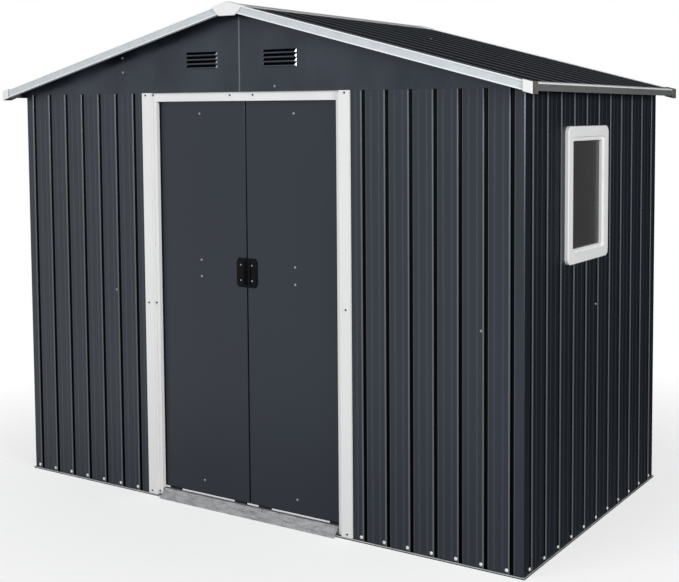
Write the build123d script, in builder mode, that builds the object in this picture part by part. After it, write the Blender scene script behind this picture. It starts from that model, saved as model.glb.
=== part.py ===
from build123d import *
import math
import os

# Metal storage shed, in millimetres. X runs along the front, Y to the back, Z up.
# The origin is on the ground at the middle of the plan. The doorway is in the front, at -Y.

# Overall sizes
wall_width = 2260.0
wall_depth = 1190.0
wall_top = 1554.0
roof_rise = 0.2536
ridge_rise = 312.4
front_overhang = 69.0
side_overhang = 55.0

# Sheet metal
sheet = 1.5
bend_cut = 2.2
corner_cut = 3.0
groove_depth = 9.0
groove_mouth = 18.0
groove_floor = 8.0
flute_count = 2
flute_width = 9.0
flute_depth = 1.2
front_pitch = 93.0
front_first_groove = 44.0
front_grooves = 7
side_grooves = 11
side_first_groove = 54.0
back_grooves = 24
grooves_before_window_sheet = 2
grooves_over_window_sheet = 4

# Floor rails and sill
rail_lip = 5.0
rail_hem = 6.0
rail_hem_depth = 3.0
rail_height = 31.5
rail_foot = 45.0
sill_reach = 21.0
sill_ledge = 9.0
sill_end_gap = 5.5

# Door frame
frame_half = 477.0
frame_band = 44.0
frame_proud = 7.0
frame_step = 12.0
frame_inner_band = 18.5
frame_return = 15.0
header_height = 32.0
jamb_foot = 8.0

# Doors
leaf_gap = 5.0
leaf_setback = 5.0
leaf_depth = 20.0
leaf_overlap = 20.0
leaf_bottom = 38.0
meeting_gap = 5.0
run_gap = 0.3
track_height = 7.0
hanger_height = 5.0
hanger_length = 60.0
hanger_inset = 55.0
hanger_bevel = 3.0
leaf_round = 2.0
glide_drop = 16.0
guide_gap = 2.0
guide_height = 28.0
guide_foot = 15.0
brace_height = 30.0
middle_brace_height = 90.0
brace_top_drop = 54.8
brace_middle_centre = 900.0
brace_bottom_rise = 53.0
handle_width = 44.0
handle_height = 108.0
handle_depth = 8.0
handle_plate = 4.0
handle_centre = 897.0
handle_inset = 1.0
handle_corner_width = 9.0
handle_corner_height = 13.0
handle_bevel = 1.5
grip_width = 11.0
grip_length = 88.0
grip_inset = 4.0

# Inside frame
rail_web = 13.0
rail_flange = 28.0
side_rail_web = 55.0
beam_half = 25.0
beam_drop = 35.0
purlin_width = 40.0
purlin_drop = 30.0
purlin_share = 0.5

# Gables and vents
gable_flange = 22.0
gable_lap = 12.0
vent_offset = 180.0
vent_width = 150.0
vent_rise = 88.0
vent_slots = 4
vent_pitch = 15.5
vent_slot = 12.0
vent_hood = 7.0
vent_taper = 6.0

# Roof edge trims
trim_face = 30.0
trim_lip = 15.0
trim_hem = 4.0
trim_recess = 1.5
eave_face = 25.0
eave_lip = 18.0
eave_fold = 13.0
eave_tuck = 4.0
ridge_half = 65.0
ridge_gap = 4.0
cap_wall = 3.0
cap_width = 33.0
cap_depth = 42.0
cap_bevel = 1.5
end_cap_half = 67.0
end_cap_shoulder = 18.0
end_cap_waist_half = 55.0
end_cap_foot_half = 36.0
end_cap_foot_drop = 34.0
end_cap_hood = 24.0

# Window in the right wall
window_centre = -114.0
window_middle = 1198.0
window_width = 352.0
window_height = 466.0
window_corner = 24.0
window_proud = 14.0
window_border = 50.0
window_step = 14.0
window_step_depth = 7.0
window_sleeve = 24.0
window_sleeve_depth = 12.0
window_ledge = 6.0
pane_gap = 1.0
pane_thickness = 3.0
pane_setback = 2.0
window_round = 4.0

# Values that follow from the sizes above
half_width = wall_width / 2
half_depth = wall_depth / 2
side_pitch = (wall_depth - 2 * side_first_groove) / (side_grooves - 1)
back_pitch = (wall_width - 2 * front_first_groove) / (back_grooves - 1)
sheet_inside = groove_depth + sheet
rail_web_inside = sheet_inside + sheet
sill_top = rail_height + sheet
sill_crest = sheet_inside - sheet / 2
roof_angle = math.degrees(math.atan(roof_rise))
roof_cos = math.cos(math.radians(roof_angle))
roof_half = half_width + side_overhang
roof_end = half_depth + front_overhang
header_bottom = wall_top - header_height
inner_plane = frame_step - frame_proud
opening_half = frame_half - frame_band - frame_inner_band
leaf_front = inner_plane + frame_return + leaf_setback
leaf_back = leaf_front + leaf_depth
leaf_width = opening_half + leaf_overlap - meeting_gap / 2
track_bottom = header_bottom + sheet
track_top = track_bottom + track_height
leaf_top = track_top + run_gap
brace_top_centre = leaf_top - brace_top_drop
brace_bottom_centre = leaf_bottom + brace_bottom_rise
track_front = sheet_inside
track_back = leaf_front - leaf_gap
vent_bottom = wall_top + vent_rise
ridge_height = wall_top + ridge_rise
sheet_drop = sheet_inside / roof_cos
lip_rise = sheet / roof_cos


def roof_height(x):
    """Height of the flats of the roof sheets at a distance x from the ridge."""
    return ridge_height - roof_rise * abs(x)


def roof_under(x):
    """Height of the underside of the roof grooves at a distance x from the ridge."""
    return roof_height(x) - sheet_drop


def save(builder, name):
    """Label a finished piece and write it as one STEP file."""
    builder.part.label = name
    export_step(builder.part, "parts/" + name + ".step")


def groove(centre):
    """Points along one groove. Each bend has its corner cut, so that it is one narrow facet."""
    mouth = groove_mouth / 2
    floor = groove_floor / 2
    slope = math.hypot(mouth - floor, groove_depth)
    cut_across = bend_cut * (mouth - floor) / slope
    cut_down = bend_cut * groove_depth / slope
    half = [
        (mouth + bend_cut, 0),
        (mouth - cut_across, cut_down),
        (floor + cut_across, groove_depth - cut_down),
        (floor - bend_cut, groove_depth),
    ]
    return [(centre - x, y) for x, y in half] + [(centre + x, y) for x, y in reversed(half)]


def flutes(start, end, count):
    """Points along the shallow flutes that share out the flat between two grooves."""
    points = []
    for i in range(count):
        middle = start + (end - start) * (i + 1) / (count + 1)
        points += [(middle - flute_width / 2, 0), (middle, flute_depth), (middle + flute_width / 2, 0)]
    return points


def ribs(centres, flute_count):
    """Points along the grooves at these centres and the fluted flats between them."""
    points = groove(centres[0])
    for last, centre in zip(centres, centres[1:]):
        points += flutes(last, centre, flute_count) + groove(centre)
    return points


def ribbed_sheet(plane, height, points):
    """A folded sheet standing on a plane. Local X runs along it, local Y goes inwards."""
    with BuildPart() as panel:
        with BuildSketch(plane):
            with BuildLine():
                Polyline(*points)
                offset(amount=sheet, side=Side.LEFT, kind=Kind.INTERSECTION)
            make_face()
        extrude(amount=height)
    return panel


def lapped_sheet(plane, centres):
    """A wall sheet that laps on its neighbours in the first and the last groove."""
    points = ribs(centres, flute_count)
    half_groove = len(groove(0)) // 2
    points = [(centres[0], groove_depth)] + points[half_groove:-half_groove] + [(centres[-1], groove_depth)]
    return ribbed_sheet(plane, sheet_height, points)


def wall_plane(corner, along, height):
    """A plane on the outer face of a wall, with local Y pointing into the shed."""
    return Plane(origin=(corner[0], corner[1], height), x_dir=along, z_dir=(0, 0, 1))


os.makedirs("parts", exist_ok=True)

# Walls stand on the floor rails
sheet_bottom = sheet
sheet_height = wall_top - sheet_bottom
front_plane = wall_plane((-half_width, -half_depth), (1, 0, 0), sheet_bottom)
right_plane = wall_plane((half_width, -half_depth), (0, 1, 0), sheet_bottom)
back_plane = wall_plane((half_width, half_depth), (-1, 0, 0), sheet_bottom)
left_plane = wall_plane((-half_width, half_depth), (0, -1, 0), sheet_bottom)

front_centres = [front_first_groove + i * front_pitch for i in range(front_grooves)]
side_centres = [side_first_groove + i * side_pitch for i in range(side_grooves)]
back_centres = [front_first_groove + i * back_pitch for i in range(back_grooves)]
front_edge = half_width - frame_half + frame_band - 2 * sheet

front_run = ribs(front_centres, flute_count)[len(groove(0)) // 2 :]
front_run += flutes(front_centres[-1], front_edge, flute_count)
front_wall_left = ribbed_sheet(
    front_plane, sheet_height, [(front_centres[0], groove_depth)] + front_run + [(front_edge, 0)]
)
save(front_wall_left, "front_wall_left")
with BuildPart() as front_wall_right:
    mirror(front_wall_left.part, about=Plane.YZ)
save(front_wall_right, "front_wall_right")

# The right wall is three sheets, and the middle one holds the window
grooves_before_back_sheet = grooves_before_window_sheet + grooves_over_window_sheet
right_wall_front = lapped_sheet(right_plane, side_centres[: grooves_before_window_sheet + 1])
save(right_wall_front, "right_wall_front")
window_sheet = lapped_sheet(
    right_plane, side_centres[grooves_before_window_sheet : grooves_before_back_sheet + 1]
)
sleeve_width = window_width - 2 * window_sleeve
sleeve_height = window_height - 2 * window_sleeve
window_face = Plane(
    origin=(half_width, window_centre, window_middle), x_dir=(0, 1, 0), z_dir=(1, 0, 0)
)
with BuildPart() as right_wall_window:
    add(window_sheet.part)
    with BuildSketch(window_face):
        RectangleRounded(sleeve_width + pane_gap, sleeve_height + pane_gap, window_corner / 2)
    extrude(amount=-2 * sheet_inside, mode=Mode.SUBTRACT)
save(right_wall_window, "right_wall_window")
right_wall_back = lapped_sheet(right_plane, side_centres[grooves_before_back_sheet:])
save(right_wall_back, "right_wall_back")

side_middle = side_grooves // 2
left_wall_back = lapped_sheet(left_plane, side_centres[: side_middle + 1])
save(left_wall_back, "left_wall_back")
left_wall_front = lapped_sheet(left_plane, side_centres[side_middle:])
save(left_wall_front, "left_wall_front")

back_middle = back_grooves // 2
back_wall_right = lapped_sheet(back_plane, back_centres[: back_middle + 1])
save(back_wall_right, "back_wall_right")
back_wall_left = lapped_sheet(back_plane, back_centres[back_middle:])
save(back_wall_left, "back_wall_left")

# A corner sheet bends from the first groove of one wall to the first groove of the next
with BuildPart() as corner_front_left:
    half_groove = len(groove(0)) // 2
    along_front = groove(front_first_groove)[:half_groove] + [(front_first_groove, groove_depth)]
    along_side = groove(side_first_groove)[:half_groove] + [(side_first_groove, groove_depth)]
    with BuildSketch(front_plane):
        with BuildLine():
            Polyline(
                *[(y, x) for x, y in reversed(along_side)], (0, corner_cut), (corner_cut, 0), *along_front
            )
            offset(amount=sheet, side=Side.LEFT, kind=Kind.INTERSECTION)
        make_face()
    extrude(amount=sheet_height)
save(corner_front_left, "corner_front_left")
with BuildPart() as corner_front_right:
    mirror(corner_front_left.part, about=Plane.YZ)
save(corner_front_right, "corner_front_right")
with BuildPart() as corner_back_left:
    mirror(corner_front_left.part, about=Plane.XZ)
save(corner_back_left, "corner_back_left")
with BuildPart() as corner_back_right:
    mirror(corner_front_right.part, about=Plane.XZ)
save(corner_back_right, "corner_back_right")


def floor_rail(half_length, half_across):
    """One mitred floor rail along X, on the -Y side of the plan."""
    with BuildPart() as rail:
        with BuildSketch(Plane.YZ.offset(-half_length - rail_lip)):
            with BuildLine():
                Polyline(
                    (-half_across - rail_lip, 0),
                    (-half_across + rail_foot, 0),
                    (-half_across + rail_foot, sheet),
                    (-half_across + rail_web_inside, sheet),
                    (-half_across + rail_web_inside, rail_height),
                    (-half_across + sheet_inside, rail_height),
                    (-half_across + sheet_inside, sheet),
                    (-half_across - rail_lip + rail_hem_depth, sheet),
                    (-half_across - rail_lip + rail_hem_depth, rail_hem),
                    (-half_across - rail_lip, rail_hem),
                    close=True,
                )
            make_face()
        extrude(amount=2 * (half_length + rail_lip))
        left_mitre = Plane(origin=(-half_length, -half_across, 0), z_dir=(1, -1, 0))
        right_mitre = Plane(origin=(half_length, -half_across, 0), z_dir=(-1, -1, 0))
        split(bisect_by=left_mitre, keep=Keep.TOP)
        split(bisect_by=right_mitre, keep=Keep.TOP)
    return rail


floor_rail_front = floor_rail(half_width, half_depth)
save(floor_rail_front, "floor_rail_front")
with BuildPart() as floor_rail_back:
    mirror(floor_rail_front.part, about=Plane.XZ)
save(floor_rail_back, "floor_rail_back")
side_rail = floor_rail(half_depth, half_width)
with BuildPart() as floor_rail_right:
    add(side_rail.part.rotate(Axis.Z, 90))
save(floor_rail_right, "floor_rail_right")
with BuildPart() as floor_rail_left:
    mirror(floor_rail_right.part, about=Plane.YZ)
save(floor_rail_left, "floor_rail_left")

# The sill slopes from the ground up over the front rail, between the jambs
sill_half = opening_half - sill_end_gap
sill_foot = sheet * math.hypot(sill_reach + sill_crest, sill_top) / sill_top
with BuildPart() as door_sill:
    with BuildSketch(Plane.YZ.offset(-sill_half)):
        with BuildLine():
            Polyline(
                (-half_depth - sill_reach, 0),
                (-half_depth + sill_crest, sill_top),
                (-half_depth + sill_crest + sill_ledge, sill_top),
                (-half_depth + sill_crest + sill_ledge, rail_height),
                (-half_depth + sheet_inside, rail_height),
                (-half_depth - sill_reach + sill_foot, 0),
                close=True,
            )
        make_face()
    extrude(amount=2 * sill_half)
save(door_sill, "door_sill")

# A jamb is one folded strip: proud band, step, inner band and a return at the opening
with BuildPart() as door_jamb_left:
    with BuildSketch(Plane.XY.offset(jamb_foot)):
        with BuildLine():
            Polyline(
                (-frame_half, -half_depth),
                (-frame_half, -half_depth - frame_proud),
                (-frame_half + frame_band, -half_depth - frame_proud),
                (-frame_half + frame_band, -half_depth + inner_plane),
                (-opening_half, -half_depth + inner_plane),
                (-opening_half, -half_depth + inner_plane + frame_return),
            )
            offset(amount=sheet, side=Side.LEFT, kind=Kind.INTERSECTION)
        make_face()
    extrude(amount=wall_top - jamb_foot)
    return_middle = -half_depth + inner_plane + sheet + frame_return / 2
    with BuildSketch(Plane.XY):
        with Locations((-opening_half, return_middle)):
            Rectangle(4 * sheet, frame_return)
    extrude(amount=sill_top, mode=Mode.SUBTRACT)
    with BuildSketch(Plane.XY.offset(header_bottom)):
        with Locations((-opening_half, return_middle)):
            Rectangle(4 * sheet, frame_return)
    extrude(amount=header_height, mode=Mode.SUBTRACT)
save(door_jamb_left, "door_jamb_left")
with BuildPart() as door_jamb_right:
    mirror(door_jamb_left.part, about=Plane.YZ)
save(door_jamb_right, "door_jamb_right")

with BuildPart() as door_header:
    with BuildSketch(Plane.YZ.offset(-opening_half)):
        with BuildLine():
            Polyline(
                (-half_depth + sheet_inside, wall_top),
                (-half_depth + inner_plane, wall_top),
                (-half_depth + inner_plane, header_bottom),
                (-half_depth + inner_plane + frame_return, header_bottom),
            )
            offset(amount=sheet, side=Side.LEFT, kind=Kind.INTERSECTION)
        make_face()
    extrude(amount=2 * opening_half)
save(door_header, "door_header")

# The hanging track runs behind the whole front wall
track_half = half_width - sheet_inside - rail_flange
with BuildPart() as door_track:
    with BuildSketch(Plane.YZ.offset(-track_half)):
        with BuildLine():
            Polyline(
                (-half_depth + track_back, track_bottom),
                (-half_depth + track_front, track_bottom),
                (-half_depth + track_front, track_top),
                (-half_depth + track_back, track_top),
            )
            offset(amount=sheet, side=Side.RIGHT, kind=Kind.INTERSECTION)
        make_face()
    extrude(amount=2 * track_half)
save(door_track, "door_track")

# The bottom guide is an angle on the foot of the front rail
guide_face = leaf_front + leaf_depth / 2
guide_half = track_half
with BuildPart() as door_guide:
    with BuildSketch(Plane.YZ.offset(-guide_half)):
        with BuildLine():
            Polyline(
                (-half_depth + guide_face - guide_foot, sheet),
                (-half_depth + guide_face, sheet),
                (-half_depth + guide_face, guide_height),
                (-half_depth + guide_face - sheet, guide_height),
                (-half_depth + guide_face - sheet, 2 * sheet),
                (-half_depth + guide_face - guide_foot, 2 * sheet),
                close=True,
            )
        make_face()
    extrude(amount=2 * guide_half)
save(door_guide, "door_guide")

# Rails on the top of the walls
top_rail_bottom = wall_top - rail_web
end_rail_half = half_width - sheet_inside - sheet
side_rail_half = half_depth - sheet_inside - sheet - rail_flange - sheet
with BuildPart() as top_rails:
    for side in (-1, 1):
        with BuildSketch(Plane.YZ.offset(-end_rail_half)):
            with BuildLine():
                Polyline(
                    (side * (half_depth - sheet_inside), top_rail_bottom),
                    (side * (half_depth - sheet_inside), wall_top),
                    (side * (half_depth - rail_web_inside - rail_flange), wall_top),
                    (side * (half_depth - rail_web_inside - rail_flange), wall_top - sheet),
                    (side * (half_depth - rail_web_inside), wall_top - sheet),
                    (side * (half_depth - rail_web_inside), top_rail_bottom),
                    close=True,
                )
            make_face()
        extrude(amount=2 * end_rail_half)
        outer = half_width - sheet_inside
        inner = outer - rail_flange
        with BuildSketch(Plane.XZ.offset(-side_rail_half)):
            with BuildLine():
                Polyline(
                    (side * outer, roof_under(outer) - side_rail_web),
                    (side * outer, roof_under(outer)),
                    (side * inner, roof_under(inner)),
                    (side * inner, roof_under(inner) - sheet),
                    (side * (outer - sheet), roof_under(outer - sheet) - sheet),
                    (side * (outer - sheet), roof_under(outer) - side_rail_web),
                    close=True,
                )
            make_face()
        extrude(amount=2 * side_rail_half)
save(top_rails, "top_rails")

# Ridge beam and purlins run from gable to gable under the roof sheets
beam_length_half = half_depth - sheet
with BuildPart() as ridge_beam:
    with BuildSketch(Plane.XZ.offset(-beam_length_half)):
        with BuildLine():
            Polyline(
                (-beam_half, roof_under(beam_half) - beam_drop),
                (-beam_half, roof_under(beam_half) - sheet),
                (0, roof_under(0) - sheet),
                (beam_half, roof_under(beam_half) - sheet),
                (beam_half, roof_under(beam_half) - beam_drop),
            )
            offset(amount=sheet, side=Side.RIGHT, kind=Kind.INTERSECTION)
        make_face()
    extrude(amount=2 * beam_length_half)
save(ridge_beam, "ridge_beam")

with BuildPart() as purlins:
    for side in (-1, 1):
        middle = side * half_width * purlin_share
        edges = (middle - purlin_width / 2, middle + purlin_width / 2)
        with BuildSketch(Plane.XZ.offset(-beam_length_half)):
            with BuildLine():
                Polyline(
                    (edges[0], roof_under(edges[0]) - sheet - purlin_drop),
                    (edges[0], roof_under(edges[0]) - sheet),
                    (edges[1], roof_under(edges[1]) - sheet),
                    (edges[1], roof_under(edges[1]) - sheet - purlin_drop),
                )
                offset(amount=sheet, side=Side.RIGHT, kind=Kind.INTERSECTION)
            make_face()
        extrude(amount=2 * beam_length_half)
save(purlins, "purlins")


def louvres(face, side, skin):
    """Wedges with tapered ends, one at each louvre. skin is what they are drawn in by."""
    left = side * vent_offset - vent_width / 2 + skin
    right = side * vent_offset + vent_width / 2 - skin
    front = face - vent_hood + skin
    with BuildPart() as wedges:
        for i in range(vent_slots):
            low = vent_bottom + i * vent_pitch
            with BuildSketch(Plane.YZ.offset(left)):
                with BuildLine():
                    Polyline(
                        (face, low),
                        (face, low + vent_slot + sheet - skin),
                        (front, low + sheet - skin + vent_slot * skin / vent_hood),
                        (front, low),
                        close=True,
                    )
                make_face()
            extrude(amount=right - left)
        with BuildSketch(Plane.XY.offset(vent_bottom)):
            with BuildLine():
                Polyline(
                    (left, face),
                    (left + vent_taper, front),
                    (right - vent_taper, front),
                    (right, face),
                    close=True,
                )
            make_face()
        extrude(amount=vent_slots * vent_pitch, mode=Mode.INTERSECT)
    return wedges


def vented(panel, face, side):
    """A gable sheet with slots cut through it, and a pressed hood open at its foot over each."""
    hoods = louvres(face, side, 0)
    hollows = louvres(face, side, sheet)
    with BuildPart() as vented_panel:
        add(panel.part)
        with BuildSketch(Plane.XZ.offset(-face)):
            for i in range(vent_slots):
                with Locations((side * vent_offset, vent_bottom + i * vent_pitch + vent_slot / 2)):
                    Rectangle(vent_width - 2 * sheet, vent_slot)
        extrude(amount=-sheet, mode=Mode.SUBTRACT)
        add(hoods.part)
        add(hollows.part, mode=Mode.SUBTRACT)
    return vented_panel


def gable(side, face, seam):
    """One gable sheet with flanges along its foot and under the roof. side is -1 left, 1 right."""
    lap = side * gable_lap / 2
    with BuildPart() as panel:
        with BuildSketch(Plane.XZ.offset(-face)):
            with BuildLine():
                Polyline(
                    (side * half_width, wall_top),
                    (seam, wall_top),
                    (seam, roof_under(seam)),
                    (0, roof_under(0)),
                    (side * half_width, roof_under(half_width)),
                    close=True,
                )
            make_face()
        extrude(amount=-sheet)
        with BuildSketch(Plane.XZ.offset(-face)):
            with BuildLine():
                Polyline(
                    (side * half_width, wall_top),
                    (side * half_width, wall_top + sheet),
                    (abs(lap) * side, wall_top + sheet),
                    (abs(lap) * side, wall_top),
                    close=True,
                )
            make_face()
            with BuildLine():
                Polyline(
                    (side * half_width, roof_under(half_width)),
                    (abs(lap) * side, roof_under(lap)),
                    (abs(lap) * side, roof_under(lap) - sheet),
                    (side * half_width, roof_under(half_width) - sheet),
                    close=True,
                )
            make_face()
        extrude(amount=-(-half_depth - face + gable_flange))
    return panel


# The right gable sheet laps over the left one at the middle, and the front ones have vents
left_face = -half_depth
right_face = -half_depth - sheet
plain_left = gable(-1, left_face, gable_lap / 2)
plain_right = gable(1, right_face, -gable_lap / 2)
front_gable_left = vented(plain_left, left_face, -1)
save(front_gable_left, "front_gable_left")
front_gable_right = vented(plain_right, right_face, 1)
save(front_gable_right, "front_gable_right")
with BuildPart() as back_gable_left:
    mirror(plain_left.part, about=Plane.XZ)
save(back_gable_left, "back_gable_left")
with BuildPart() as back_gable_right:
    mirror(plain_right.part, about=Plane.XZ)
save(back_gable_right, "back_gable_right")

# Roof sheets run down from the ridge, with their grooves in line with the slope
roof_sin = math.sin(math.radians(roof_angle))
sheet_length = (roof_half - sheet - ridge_gap) / roof_cos
roof_span = 2 * (roof_end - sheet)
roof_pitch = wall_depth / side_grooves
roof_centres = [roof_span / 2 + (i - side_grooves / 2) * roof_pitch for i in range(side_grooves + 1)]
right_slope = Plane(
    origin=(ridge_gap, roof_end - sheet, roof_height(ridge_gap)),
    x_dir=(0, -1, 0),
    z_dir=(roof_cos, 0, -roof_sin),
)
roof_sheet_right = ribbed_sheet(
    right_slope, sheet_length, [(0, 0)] + ribs(roof_centres, 0) + [(roof_span, 0)]
)
save(roof_sheet_right, "roof_sheet_right")
with BuildPart() as roof_sheet_left:
    mirror(roof_sheet_right.part, about=Plane.YZ)
save(roof_sheet_left, "roof_sheet_left")

# Rake trims wrap the front and back edges of the roof, with a proud hem along their top and foot
rake_start = trim_face * roof_sin + run_gap
hem_foot = trim_hem + trim_recess
rake_plane = Plane(
    origin=(rake_start, -roof_end, roof_height(rake_start)),
    x_dir=(0, 1, 0),
    z_dir=(roof_cos, 0, -roof_sin),
)
with BuildPart() as rake_trim:
    with BuildSketch(rake_plane):
        with BuildLine():
            Polyline(
                (trim_lip, sheet),
                (0, sheet),
                (0, sheet - trim_hem),
                (trim_recess, sheet - hem_foot),
                (trim_recess, sheet - trim_face + hem_foot),
                (0, sheet - trim_face + trim_hem),
                (0, sheet - trim_face),
                (trim_lip, sheet - trim_face),
            )
            offset(amount=sheet, side=Side.LEFT, kind=Kind.INTERSECTION)
        make_face()
    extrude(amount=(roof_half - rake_start - sheet * roof_sin) / roof_cos)
with BuildPart() as rake_trims:
    add(rake_trim.part)
    mirror(about=Plane.YZ)
    mirror(about=Plane.XZ)
save(rake_trims, "rake_trims")

# Eave trims close the low edges of the roof sheets, with their lower half folded in
eave_half = roof_end - trim_lip
eave_top = roof_height(roof_half) + lip_rise
with BuildPart() as eave_trims:
    with BuildSketch(Plane.XZ.offset(-eave_half)):
        with BuildLine():
            Polyline(
                (roof_half - eave_lip, roof_height(roof_half - eave_lip) + lip_rise),
                (roof_half, eave_top),
                (roof_half, eave_top - eave_fold),
                (roof_half - eave_tuck, eave_top - eave_face),
                (roof_half - eave_lip, eave_top - eave_face),
            )
            offset(amount=sheet, side=Side.RIGHT, kind=Kind.INTERSECTION)
        make_face()
    extrude(amount=2 * eave_half)
    mirror(about=Plane.YZ)
save(eave_trims, "eave_trims")

with BuildPart() as ridge_cap:
    with BuildSketch(Plane.XZ.offset(-eave_half)):
        with BuildLine():
            Polyline(
                (-ridge_half, roof_height(ridge_half) + lip_rise),
                (0, ridge_height + lip_rise),
                (ridge_half, roof_height(ridge_half) + lip_rise),
            )
            offset(amount=sheet, side=Side.RIGHT, kind=Kind.INTERSECTION)
        make_face()
    extrude(amount=2 * eave_half)
save(ridge_cap, "ridge_cap")

# Moulded end caps cover the front and back ends of the ridge
end_cap_top = ridge_height + lip_rise + cap_wall / roof_cos
with BuildPart() as ridge_end_caps:
    with BuildSketch(Plane.XZ.offset(roof_end)):
        with BuildLine():
            Polyline(
                (0, end_cap_top),
                (end_cap_half, end_cap_top - roof_rise * end_cap_half),
                (end_cap_waist_half, end_cap_top - roof_rise * end_cap_half - end_cap_shoulder),
                (end_cap_foot_half, end_cap_top - roof_rise * end_cap_half - end_cap_foot_drop),
                (-end_cap_foot_half, end_cap_top - roof_rise * end_cap_half - end_cap_foot_drop),
                (-end_cap_waist_half, end_cap_top - roof_rise * end_cap_half - end_cap_shoulder),
                (-end_cap_half, end_cap_top - roof_rise * end_cap_half),
                close=True,
            )
        make_face()
    extrude(amount=cap_wall)
    with BuildSketch(Plane.XZ.offset(roof_end)):
        with BuildLine():
            Polyline(
                (-end_cap_half, end_cap_top - roof_rise * end_cap_half),
                (0, end_cap_top),
                (end_cap_half, end_cap_top - roof_rise * end_cap_half),
            )
            offset(amount=cap_wall, side=Side.RIGHT, kind=Kind.INTERSECTION)
        make_face()
    extrude(amount=-end_cap_hood)
    chamfer(ridge_end_caps.faces().sort_by(Axis.Y)[0].edges(), length=cap_bevel)
    mirror(about=Plane.XZ)
save(ridge_end_caps, "ridge_end_caps")

# Moulded caps close the four low corners of the roof trims
cap_inner = roof_half + cap_wall - cap_width
cap_floor = trim_face / roof_cos + run_gap - lip_rise
cap_skin = cap_wall / roof_cos
with BuildPart() as eave_corner_caps:
    with BuildSketch(Plane.XZ.offset(roof_end + cap_wall)):
        with BuildLine():
            Polyline(
                (cap_inner, roof_height(cap_inner) - cap_floor - cap_skin),
                (roof_half + cap_wall, roof_height(roof_half + cap_wall) - cap_floor - cap_skin),
                (roof_half + cap_wall, roof_height(roof_half + cap_wall) + lip_rise + cap_skin),
                (cap_inner, roof_height(cap_inner) + lip_rise + cap_skin),
                close=True,
            )
        make_face()
    extrude(amount=-cap_depth)
    chamfer(eave_corner_caps.faces().sort_by(Axis.Y)[0].edges(), length=cap_bevel)
    with BuildSketch(Plane.XZ.offset(roof_end)):
        with BuildLine():
            Polyline(
                (cap_inner, roof_height(cap_inner) - cap_floor),
                (roof_half, roof_height(roof_half) - cap_floor),
                (roof_half, roof_height(roof_half) + lip_rise),
                (cap_inner, roof_height(cap_inner) + lip_rise),
                close=True,
            )
        make_face()
    extrude(amount=-cap_depth, mode=Mode.SUBTRACT)
    mirror(about=Plane.YZ)
    mirror(about=Plane.XZ)
save(eave_corner_caps, "eave_corner_caps")

# Window: a moulded frame with a stepped rim, and its pane behind the ledge
hole_width = window_width - 2 * window_border
hole_height = window_height - 2 * window_border
with BuildPart() as window_frame:
    with BuildSketch(window_face):
        RectangleRounded(window_width, window_height, window_corner)
    extrude(amount=window_proud)
    fillet(window_frame.faces().sort_by(Axis.X)[-1].edges(), radius=window_round)
    with BuildSketch(window_face):
        RectangleRounded(sleeve_width, sleeve_height, window_corner / 2)
    extrude(amount=-window_sleeve_depth)
    with BuildSketch(window_face.offset(window_proud)):
        RectangleRounded(hole_width + 2 * window_step, hole_height + 2 * window_step, window_corner / 2)
    extrude(amount=-window_step_depth, mode=Mode.SUBTRACT)
    with BuildSketch(window_face.offset(window_proud)):
        RectangleRounded(hole_width, hole_height, window_corner / 3)
    extrude(amount=-window_proud - window_sleeve_depth, mode=Mode.SUBTRACT)
    with BuildSketch(window_face.offset(-pane_setback)):
        RectangleRounded(hole_width + 2 * window_ledge, hole_height + 2 * window_ledge, window_corner / 3)
    extrude(amount=-window_sleeve_depth, mode=Mode.SUBTRACT)
save(window_frame, "window_frame")
with BuildPart() as window_pane:
    with BuildSketch(window_face.offset(-pane_setback)):
        RectangleRounded(
            hole_width + 2 * window_ledge - pane_gap,
            hole_height + 2 * window_ledge - pane_gap,
            window_corner / 3,
        )
    extrude(amount=-pane_thickness)
save(window_pane, "window_pane")

# Doors: the left leaf and its fittings, then the right ones by mirroring
leaf_middle = -(meeting_gap / 2 + leaf_width / 2)
leaf_height = leaf_top - leaf_bottom
with BuildPart() as left_door_leaf:
    with BuildSketch(Plane.XZ.offset(half_depth - leaf_front)):
        with Locations((leaf_middle, leaf_bottom + leaf_height / 2)):
            Rectangle(leaf_width, leaf_height)
    extrude(amount=-leaf_depth)
    front_face = left_door_leaf.faces().sort_by(Axis.Y)[0]
    fillet(front_face.edges(), radius=leaf_round)
    offset(amount=-sheet, openings=left_door_leaf.faces().sort_by(Axis.Y)[-1])
save(left_door_leaf, "left_door_leaf")

brace_half = leaf_width / 2 - sheet - run_gap - leaf_round / 2
with BuildPart() as left_door_braces:
    for centre, tall in (
        (brace_top_centre, brace_height),
        (brace_middle_centre, middle_brace_height),
        (brace_bottom_centre, brace_height),
    ):
        with BuildSketch(Plane.YZ.offset(leaf_middle - brace_half)):
            with BuildLine():
                Polyline(
                    (-half_depth + leaf_back, centre - tall / 2),
                    (-half_depth + leaf_front + sheet, centre - tall / 2),
                    (-half_depth + leaf_front + sheet, centre + tall / 2),
                    (-half_depth + leaf_back, centre + tall / 2),
                )
                offset(amount=sheet, side=Side.RIGHT, kind=Kind.INTERSECTION)
            make_face()
        extrude(amount=2 * brace_half)
save(left_door_braces, "left_door_braces")

# Hangers lie on the leaf and ride on the track, and glides run behind the bottom guide
with BuildPart() as left_door_glides:
    for end in (-1, 1):
        across = leaf_middle + end * (leaf_width / 2 - hanger_inset)
        with BuildSketch(Plane.XY.offset(leaf_top)):
            with Locations((across, -half_depth + (track_front + sheet + leaf_back - sheet) / 2)):
                hanger = Rectangle(hanger_length, leaf_back - track_front - 2 * sheet)
            chamfer(hanger.vertices(), length=hanger_bevel)
        extrude(amount=hanger_height)
        with BuildSketch(Plane.XY.offset(leaf_bottom - glide_drop)):
            with Locations((across, -half_depth + (guide_face + guide_gap + leaf_back) / 2)):
                glide = Rectangle(hanger_length, leaf_back - guide_face - guide_gap)
            chamfer(glide.vertices(), length=hanger_bevel)
        extrude(amount=glide_drop)
save(left_door_glides, "left_door_glides")

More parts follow.
